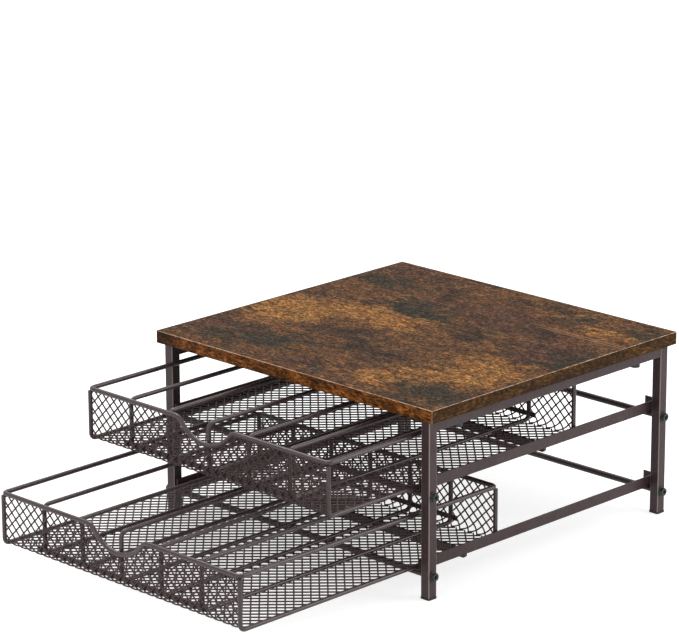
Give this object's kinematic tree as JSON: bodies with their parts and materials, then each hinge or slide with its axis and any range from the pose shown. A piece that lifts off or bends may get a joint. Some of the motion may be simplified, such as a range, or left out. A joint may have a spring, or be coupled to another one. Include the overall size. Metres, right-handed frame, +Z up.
{
  "type": "coffee pod drawer",
  "caption": "Wood-topped steel stand with wire mesh drawers that slide out on runner rails, divided into lanes for coffee pods.",
  "frame": {"origin": "on the floor, below the middle of the footprint with both drawers part-way open", "axes": "+Z up, drawers open towards -Y, +X to the right seen from the front"},
  "size_m": [0.36, 0.5561, 0.182],
  "materials": {
    "board_top": "satin wood print",
    "edge_band": "satin edge banding",
    "frame_metal": "dark bronze powder coat, semi-gloss",
    "bolt_black": "black oxide",
    "foot_plastic": "matt"
  },
  "bodies": {
    "frame": {"top_board": "board_top", "board_edge_band": "edge_band", "left_front_leg": "frame_metal", "left_rear_leg": "frame_metal", "right_front_leg": "frame_metal", "right_rear_leg": "frame_metal", "left_top_rail": "frame_metal", "right_top_rail": "frame_metal", "left_front_foot": "foot_plastic", "left_rear_foot": "foot_plastic", "right_front_foot": "foot_plastic", "right_rear_foot": "foot_plastic", "upper_front_crossbar": "frame_metal", "upper_rear_crossbar": "frame_metal", "lower_front_crossbar": "frame_metal", "lower_rear_crossbar": "frame_metal", "upper_left_runner": "frame_metal", "upper_right_runner": "frame_metal", "lower_left_runner": "frame_metal", "lower_right_runner": "frame_metal", "left_frame_bolts": "bolt_black", "right_frame_bolts": "bolt_black", "board_screws": "bolt_black"},
    "upper_drawer": {"upper_rim_wire": "frame_metal", "upper_left_side_wire": "frame_metal", "upper_right_side_wire": "frame_metal", "upper_front_mesh": "frame_metal", "upper_floor_mesh": "frame_metal", "upper_rear_mesh": "frame_metal", "upper_divider_1": "frame_metal", "upper_divider_2": "frame_metal", "upper_divider_3": "frame_metal", "upper_divider_4": "frame_metal", "upper_divider_5": "frame_metal", "upper_front_tie": "frame_metal", "upper_rear_tie": "frame_metal", "upper_stop_plate": "frame_metal"},
    "lower_drawer": {"lower_rim_wire": "frame_metal", "lower_left_side_wire": "frame_metal", "lower_right_side_wire": "frame_metal", "lower_front_mesh": "frame_metal", "lower_floor_mesh": "frame_metal", "lower_rear_mesh": "frame_metal", "lower_divider_1": "frame_metal", "lower_divider_2": "frame_metal", "lower_divider_3": "frame_metal", "lower_divider_4": "frame_metal", "lower_divider_5": "frame_metal", "lower_front_tie": "frame_metal", "lower_rear_tie": "frame_metal", "lower_stop_plate": "frame_metal"}
  },
  "joints": [
    {"name": "upper_drawer_slide", "type": "slide", "parent": "frame", "child": "upper_drawer", "axis": [0, -1, 0], "range_m": [-0.1115, 0.1634]},
    {"name": "lower_drawer_slide", "type": "slide", "parent": "frame", "child": "lower_drawer", "axis": [0, -1, 0], "range_m": [-0.2195, 0.0554]}
  ]
}
